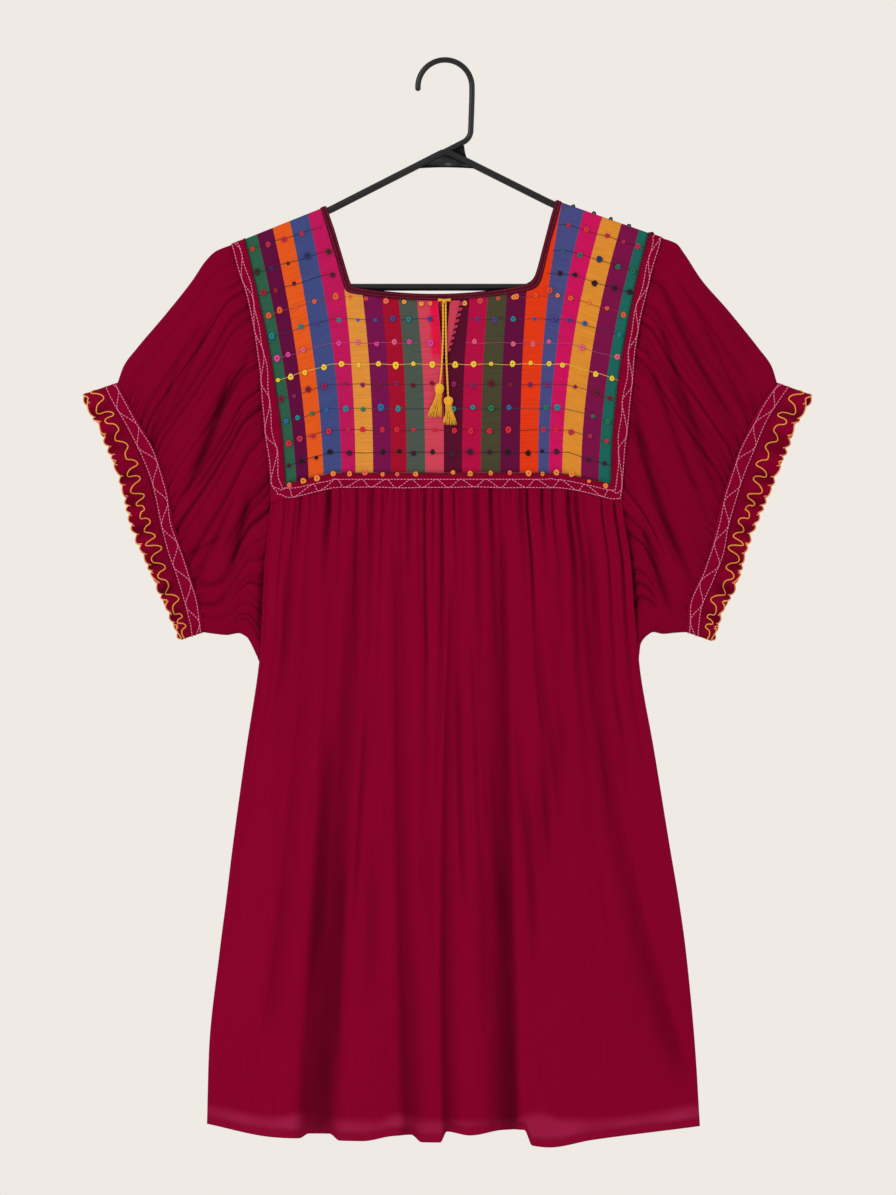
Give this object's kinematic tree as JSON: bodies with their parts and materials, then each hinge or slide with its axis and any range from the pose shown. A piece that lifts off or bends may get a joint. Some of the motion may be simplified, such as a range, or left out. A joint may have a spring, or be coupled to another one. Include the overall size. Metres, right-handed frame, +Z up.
{
  "type": "woven blouse on a clothes hanger",
  "caption": "Woven folk blouse with a striped square yoke, gathered body, flared sleeves and ruffled cuffs, hanging on a plastic hanger.",
  "frame": {"origin": "underside of the top of the hanger's hook, in the hanger's middle plane, where it rests on what carries it", "axes": "+Z up, -Y the way the blouse's front faces, +X to the right of someone who looks at the front"},
  "size_m": [0.6483, 0.0677, 0.9666],
  "materials": {
    "hanger_plastic": "moulded, slightly glossy",
    "body_cloth": "crinkled woven gauze with a soft sheen",
    "striped_cloth": "hand-woven, many-coloured stripes with small knots",
    "binding_cloth": "dark bias binding",
    "edging_thread": "worked thread",
    "tie_thread": "soft twisted thread"
  },
  "bodies": {
    "root": {"hanger": "hanger_plastic", "yoke_front": "striped_cloth", "yoke_back": "striped_cloth", "neck_binding_front": "binding_cloth", "neck_binding_back": "binding_cloth", "band_front": "body_cloth", "band_back": "body_cloth", "body_front": "body_cloth", "body_back": "body_cloth", "sleeve_left": "body_cloth", "sleeve_right": "body_cloth", "cuff_left": "body_cloth", "cuff_right": "body_cloth", "ruffle_left": "body_cloth", "ruffle_right": "body_cloth", "slit_edging": "edging_thread", "tie_bar": "tie_thread", "tie_cord_left": "tie_thread", "tie_cord_right": "tie_thread", "tassel_left": "tie_thread", "tassel_right": "tie_thread"}
  },
  "joints": []
}
